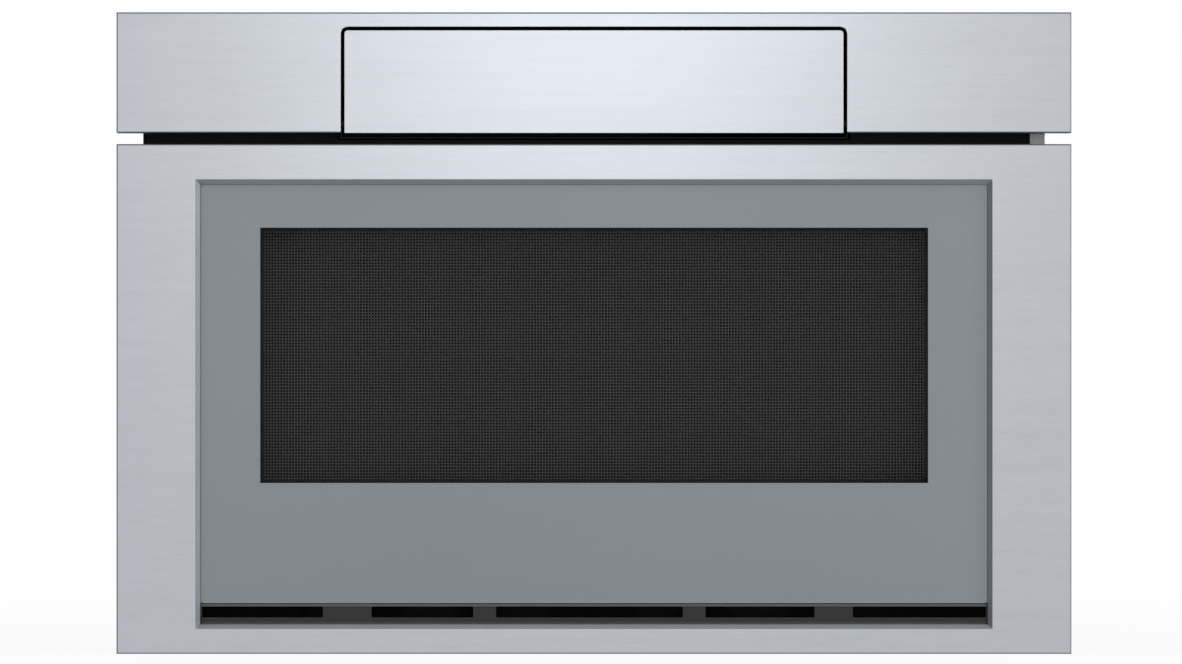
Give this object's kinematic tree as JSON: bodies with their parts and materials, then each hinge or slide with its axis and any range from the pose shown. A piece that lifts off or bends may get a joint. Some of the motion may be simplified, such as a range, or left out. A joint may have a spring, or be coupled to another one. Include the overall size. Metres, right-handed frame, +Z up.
{
  "type": "microwave drawer",
  "caption": "Built-in microwave drawer: stainless front with a windowed motor-driven drawer on telescopic slides under a fascia with a tilting control hatch.",
  "frame": {"origin": "middle of the base pan's underside, where the case rests on the cabinet shelf", "axes": "+X to the right of someone facing the drawer, +Y back into the cabinet, +Z up; the drawer opens towards -Y"},
  "size_m": [0.6064, 0.624, 0.4074],
  "materials": {
    "stainless": "fine horizontal brushing",
    "zinc_steel": "zinc-coated sheet",
    "black_steel": "black enamel on sheet",
    "slide_steel": "bright zinc plating",
    "enamel": "grey enamel",
    "aluminium": "mill finish",
    "core_steel": "varnished laminations",
    "copper": "varnished copper wire",
    "black_plastic": "moulded, satin",
    "grey_plastic": "moulded, satin",
    "white_plastic": "moulded, satin",
    "mica": "pressed mica sheet",
    "grey_glass": "grey back-printed glass",
    "black_glass": "black back-printed glass",
    "clear_pane": "clear pane",
    "ceramic": "white glass ceramic",
    "circuit_board": "laminate with solder mask",
    "nylon": "natural nylon"
  },
  "bodies": {
    "chassis": {"base_pan": "zinc_steel", "right_side_panel": "zinc_steel", "left_side_panel": "zinc_steel", "top_cover": "zinc_steel", "rear_cover": "zinc_steel", "front_frame": "black_steel", "gap_end_bracket": "zinc_steel", "cord_gland": "black_plastic", "cavity_shell": "enamel", "stirrer_cover": "mica", "stirrer_motor": "zinc_steel", "waveguide": "zinc_steel", "magnetron_yoke": "zinc_steel", "magnetron_fins": "aluminium", "magnetron_filter_box": "zinc_steel", "transformer_core": "core_steel", "transformer_windings": "copper", "hv_capacitor": "aluminium", "capacitor_clamp": "zinc_steel", "hv_diode": "black_plastic", "filter_board": "circuit_board", "control_board": "circuit_board", "oven_lamp": "white_plastic", "fan_shroud": "grey_plastic", "fan_motor": "core_steel", "air_duct": "white_plastic", "fascia_skin": "stainless", "fascia_carrier": "black_plastic", "right_hinge_pin": "black_steel", "left_hinge_pin": "black_steel", "right_outer_rail": "slide_steel", "left_outer_rail": "slide_steel", "motor_bracket": "zinc_steel", "drawer_gearmotor": "grey_plastic", "interlock_bracket": "zinc_steel", "interlock_switches": "black_plastic"},
    "right_slide_middle": {"right_middle_rail": "slide_steel"},
    "left_slide_middle": {"left_middle_rail": "slide_steel"},
    "drawer": {"right_inner_rail": "slide_steel", "left_inner_rail": "slide_steel", "right_side_arm": "zinc_steel", "left_side_arm": "zinc_steel", "drive_rack": "nylon", "drawer_tub": "enamel", "ceramic_floor": "ceramic", "door_frame": "black_steel", "choke_cover": "black_plastic", "window_screen": "black_steel", "inner_pane": "clear_pane", "glass_carrier": "black_plastic", "front_glass": "grey_glass", "vent_grille": "black_plastic", "door_skin": "stainless"},
    "pinion": {"drive_pinion": "nylon"},
    "hatch": {"hatch_skin": "stainless", "hatch_housing": "black_plastic", "control_glass": "black_glass", "display_board": "circuit_board"},
    "fan": {"fan_blade": "white_plastic"},
    "stirrer": {"stirrer": "aluminium"}
  },
  "joints": [
    {"name": "drawer_slide", "type": "slide", "parent": "chassis", "child": "drawer", "axis": [0, -1, 0], "range_m": [0, 0.38]},
    {"name": "right_slide_travel", "type": "slide", "parent": "chassis", "child": "right_slide_middle", "axis": [0, -1, 0], "range_m": [0, 0.19]},
    {"name": "left_slide_travel", "type": "slide", "parent": "chassis", "child": "left_slide_middle", "axis": [0, -1, 0], "range_m": [0, 0.19]},
    {"name": "pinion_spin", "type": "hinge", "parent": "chassis", "child": "pinion", "pos_m": [0.2527, -0.255, 0.0204], "axis": [1, 0, 0], "range_deg": [0, 1556]},
    {"name": "hatch_tilt", "type": "hinge", "parent": "chassis", "child": "hatch", "pos_m": [0, -0.3225, 0.3218], "axis": [1, 0, 0], "range_deg": [0, 90]},
    {"name": "fan_spin", "type": "hinge", "parent": "chassis", "child": "fan", "pos_m": [0.175, 0.2772, 0.195], "axis": [0, 1, 0], "continuous": true},
    {"name": "stirrer_spin", "type": "hinge", "parent": "chassis", "child": "stirrer", "pos_m": [0, -0.06, 0.276], "axis": [0, 0, 1], "continuous": true}
  ],
  "couplings": [
    {"joint": "right_slide_travel", "follows": "drawer_slide", "ratio": 0.5},
    {"joint": "left_slide_travel", "follows": "drawer_slide", "ratio": 0.5},
    {"joint": "pinion_spin", "follows": "drawer_slide", "rad_per_m": 71.429}
  ]
}
